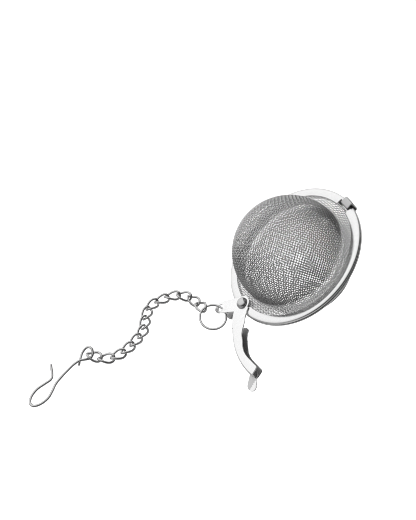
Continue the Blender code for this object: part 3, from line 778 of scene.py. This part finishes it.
def make_lever():
    """The bell crank: channel, root, short arm with the ring's hole, and tongue."""
    rivet = polar(RIVET_RADIUS, LATCH_ANGLE)
    pivot = Vector((*rivet, 0.0)) * MM
    low = LEVER_FACE_HEIGHT
    opening = (Matrix.Translation(pivot) @ Matrix.Rotation(math.radians(-LEVER_OPEN_ANGLE), 4, "Z")
               @ Matrix.Translation(-pivot))
    closed = opening @ Matrix.Rotation(math.radians(LATCH_ANGLE), 4, "Z")
    channel = channel_mesh("channel")
    channel.transform(closed)
    root = lever_root()
    root.transform(closed)
    arm = plate_mesh("arm", capsule_outline(LEVER_EYE_RADIUS, ARM_END_RADIUS, ARM_LENGTH),
                     low + 0.5 * UNION_INSET, SHEET - UNION_INSET)
    arm.transform(Matrix.Translation(pivot)
                  @ Matrix.Rotation(math.radians(ARM_ANGLE + LATCH_ANGLE), 4, "Z"))
    neck = polar(LEVER_OUTER_RADIUS - TONGUE_INSET, LEVER_END_ANGLE - TONGUE_SETBACK)
    neck = turn_z(turn_z(neck, LATCH_ANGLE), -LEVER_OPEN_ANGLE, rivet)
    tongue = tongue_mesh("tongue")
    tongue.transform(Matrix.Translation(Vector((*neck, -low - SHEET)) * MM)
                     @ Matrix.Rotation(math.radians(TONGUE_ANGLE + LATCH_ANGLE - LEVER_OPEN_ANGLE), 4, "Z"))
    reach = polar(ARM_HOLE_DISTANCE, ARM_ANGLE + LATCH_ANGLE)
    hole = arc((rivet[0] + reach[0], rivet[1] + reach[1]), ARM_HOLE_RADIUS, 0.0, 352.5, 47)
    hole = plate_mesh("hole", hole, low - 1.0, 3.0)
    mesh = baked(channel, [("UNION", root), ("UNION", arm), ("UNION", tongue), ("DIFFERENCE", hole), ROUNDED])
    add_piece("latch_bell_crank", finish_sheet(mesh), SHEET_STEEL, "latch", "sheet_steel", "latch_lever",
              matrix=BALL)
    # The faces inside the channel get the darker steel: painted shade in the fold
    mesh.materials.append(FOLD_SHADE_STEEL)
    from_row = (BALL @ closed).inverted()
    for polygon in mesh.polygons:
        if in_shaded_fold(from_row @ polygon.center, from_row.to_3x3() @ polygon.normal):
            polygon.material_index = 1


def make_rear_tab():
    outline = capsule_outline(REAR_TAB_EYE_RADIUS, REAR_TAB_END_RADIUS, REAR_TAB_LENGTH)
    mesh = plate_mesh("finger_tab", outline, -(LEVER_FACE_HEIGHT + SHEET), SHEET)
    mesh.transform(Matrix.Translation(Vector((*polar(RIVET_RADIUS, LATCH_ANGLE), 0.0)) * MM)
                   @ Matrix.Rotation(math.radians(REAR_TAB_ANGLE + LATCH_ANGLE), 4, "Z"))
    mesh = finish_sheet(baked(mesh, [ROUNDED]))
    # The rear tab's darker steel is painted shade: the tab lies in the shadow of the lever's arm
    add_piece("finger_tab", mesh, DARK_STRIP_STEEL, "rear_half", "sheet_steel", "rear_tab", matrix=BALL)


def make_rivet():
    """The domed head, just above the lever."""
    low = LEVER_FACE_HEIGHT + SHEET + RIVET_GAP
    edge = RIVET_EDGE_ROUND
    section = [(0.0, low)] + arc((RIVET_HEAD_RADIUS - edge, low + edge), edge, -90, 0, 4)
    for step in range(1, 16):
        angle = math.radians(90 * step / 16)
        section.append((RIVET_HEAD_RADIUS * math.cos(angle),
                        low + edge + (RIVET_HEAD_HEIGHT - RIVET_GAP) * math.sin(angle)))
    section.append((0.0, low + edge + RIVET_HEAD_HEIGHT - RIVET_GAP))
    mesh = revolve("rivet_head", section, 64, 50.0)
    mesh.transform(Matrix.Translation(Vector((*polar(RIVET_RADIUS, LATCH_ANGLE), 0.0)) * MM))
    add_piece("rivet_head", mesh, WIRE_STEEL, "front_half", "sheet_steel", "latch_rivet", matrix=BALL)


# Ring, chain and hook

def main_axes(node):
    """The centre and principal directions of a CAD node, longest first, in the row frame."""
    points = np.array([vertex.co for vertex in frame["nodes"][node].data.vertices], float)
    centre = points.mean(0)
    _, directions = np.linalg.eigh(np.cov((points - centre).T))
    longest, middle = Vector(directions[:, 2]), Vector(directions[:, 1])
    shortest = longest.cross(middle)
    matrix = Matrix((longest, middle, shortest)).transposed().to_4x4()
    return Matrix.Translation(Vector(centre)) @ matrix


def link_line(count):
    """The middle line of one curb link: a full oval, twisted about its long axis."""
    points = []
    for step in range(count):
        angle = 2 * math.pi * step / count
        x = LINK_HALF_LENGTH * math.copysign(abs(math.cos(angle)) ** LINK_FULLNESS, math.cos(angle))
        y = LINK_HALF_WIDTH * math.copysign(abs(math.sin(angle)) ** LINK_FULLNESS, math.sin(angle))
        twist = math.radians(LINK_TWIST) * x / LINK_HALF_LENGTH
        points.append((x, y * math.cos(twist), y * math.sin(twist)))
    return points


def make_chain():
    for number in range(1, LINK_COUNT + 1):
        node = f"chain_link_{number:02d}"
        mesh = tube_mesh(f"curb_link_{number:02d}", link_line(72), CHAIN_WIRE, 14, True)
        add_piece(f"curb_link_{number:02d}", mesh, WIRE_STEEL, f"link_{number:02d}", "wire_steel", node,
                  matrix=main_axes(node))


def make_ring():
    circle = [(*polar(RING_RADIUS, 360.0 * step / 120), 0.0) for step in range(120)]
    mesh = tube_mesh("split_ring", circle, RING_WIRE, WIRE_SIDES, True)
    add_piece("split_ring", mesh, WIRE_STEEL, "ring", "wire_steel", "jump_ring",
              matrix=main_axes("jump_ring"))


def make_hook():
    points = [tuple(point) for point in smooth_route(HOOK_ROUTE, 8)]
    mesh = tube_mesh("wire_hook", points, HOOK_WIRE, WIRE_SIDES, False)
    add_piece("wire_hook", mesh, WIRE_STEEL, "hook", "wire_steel", "cup_hook",
              matrix=Matrix.Translation(TABLE_POINT))


# Stage

def make_floor():
    """A white, glowing table top, which the steel doesn't mirror."""
    reach = FLOOR_REACH
    mesh = plate_mesh("table", [(-reach, -reach), (reach, -reach), (reach, reach), (-reach, reach)],
                      FLOOR_BOTTOM, FLOOR_TOP - FLOOR_BOTTOM)
    floor = bpy.data.objects.new("table", mesh)
    bpy.context.scene.collection.objects.link(floor)
    material = bpy.data.materials.new("white_table")
    material.use_nodes = True
    shader = material.node_tree.nodes["Principled BSDF"]
    shader.inputs["Base Color"].default_value = (FLOOR_GREY, FLOOR_GREY, FLOOR_GREY, 1.0)
    shader.inputs["Roughness"].default_value = FLOOR_ROUGHNESS
    shader.inputs["Specular IOR Level"].default_value = 0.0
    shader.inputs["Emission Color"].default_value = (1.0, 1.0, 1.0, 1.0)
    shader.inputs["Emission Strength"].default_value = FLOOR_GLOW
    mesh.materials.append(material)
    floor.visible_glossy = False


def make_light(name, place, target, size, power):
    """A soft box that lights the table; the steel mirrors the tent instead."""
    data = bpy.data.lights.new(name, "AREA")
    data.shape = "RECTANGLE"
    data.size, data.size_y = size
    data.energy = power
    light = bpy.data.objects.new(name, data)
    bpy.context.scene.collection.objects.link(light)
    light.location = Vector(place)
    light.visible_glossy = False
    light.rotation_euler = (Vector(place) - Vector(target)).to_track_quat("Z", "Y").to_euler()


def make_world():
    """A light tent over a grey table top, both seen only in the steel; the camera sees white."""
    world = bpy.data.worlds.new("studio")
    bpy.context.scene.world = world
    world.use_nodes = True
    world.cycles_visibility.diffuse = False
    nodes = world.node_tree.nodes
    links = world.node_tree.links
    place = nodes.new("ShaderNodeTexCoord")
    split = nodes.new("ShaderNodeSeparateXYZ")
    links.new(place.outputs["Generated"], split.inputs["Vector"])
    tent = light_ramp(nodes, links, place.outputs["Generated"], TENT_DIRECTION, TENT_LIGHT)
    table = light_ramp(nodes, links, place.outputs["Generated"], TABLE_DIRECTION, TABLE_LIGHT)
    above = nodes.new("ShaderNodeMapRange")
    above.interpolation_type = "SMOOTHSTEP"
    above.inputs["From Min"].default_value = TABLE_EDGE[0]
    above.inputs["From Max"].default_value = TABLE_EDGE[1]
    links.new(split.outputs["Z"], above.inputs["Value"])
    both = nodes.new("ShaderNodeMix")
    both.data_type = "RGBA"
    links.new(above.outputs["Result"], both.inputs["Factor"])
    links.new(table.outputs["Color"], both.inputs["A"])
    links.new(tent.outputs["Color"], both.inputs["B"])
    ray = nodes.new("ShaderNodeLightPath")
    seen = nodes.new("ShaderNodeMix")
    seen.data_type = "RGBA"
    seen.inputs["B"].default_value = (1.0, 1.0, 1.0, 1.0)
    links.new(ray.outputs["Is Camera Ray"], seen.inputs["Factor"])
    links.new(both.outputs["Result"], seen.inputs["A"])
    background = nodes["Background"]
    links.new(seen.outputs["Result"], background.inputs["Color"])
    background.inputs["Strength"].default_value = TENT_STRENGTH


def light_ramp(nodes, links, place, direction, stops):
    """Grey that changes from facing away (0) to facing a direction (1); stops (place, brightness)."""
    towards = nodes.new("ShaderNodeVectorMath")
    towards.operation = "DOT_PRODUCT"
    towards.inputs[1].default_value = Vector(direction).normalized()
    links.new(place, towards.inputs[0])
    share = nodes.new("ShaderNodeMapRange")
    share.inputs["From Min"].default_value = -1.0
    share.inputs["From Max"].default_value = 1.0
    links.new(towards.outputs["Value"], share.inputs["Value"])
    ramp = nodes.new("ShaderNodeValToRGB")
    links.new(share.outputs["Result"], ramp.inputs["Fac"])
    set_ramp(ramp.color_ramp, stops)
    return ramp


def make_camera():
    data = bpy.data.cameras.new("camera")
    data.lens = CAMERA_LENS
    data.sensor_width = CAMERA_SENSOR
    data.clip_start = 0.005
    data.clip_end = 10.0
    camera = bpy.data.objects.new("camera", data)
    bpy.context.scene.collection.objects.link(camera)
    camera.location = TABLE_POINT + Vector(CAMERA_PLACE) * MM
    camera.rotation_euler = (math.radians(90.0 - CAMERA_ELEVATION), 0.0, 0.0)
    bpy.context.scene.camera = camera


make_camera()
make_floor()
make_world()
make_light("key", KEY_PLACE, TABLE_POINT, KEY_SIZE, KEY_POWER)
bpy.context.scene.view_settings.view_transform = "Standard"
bpy.context.scene.cycles.filter_width = 1.0
make_bowls()
make_rims()
make_strap()
make_lever()
make_rear_tab()
make_rivet()
make_ring()
make_chain()
make_hook()
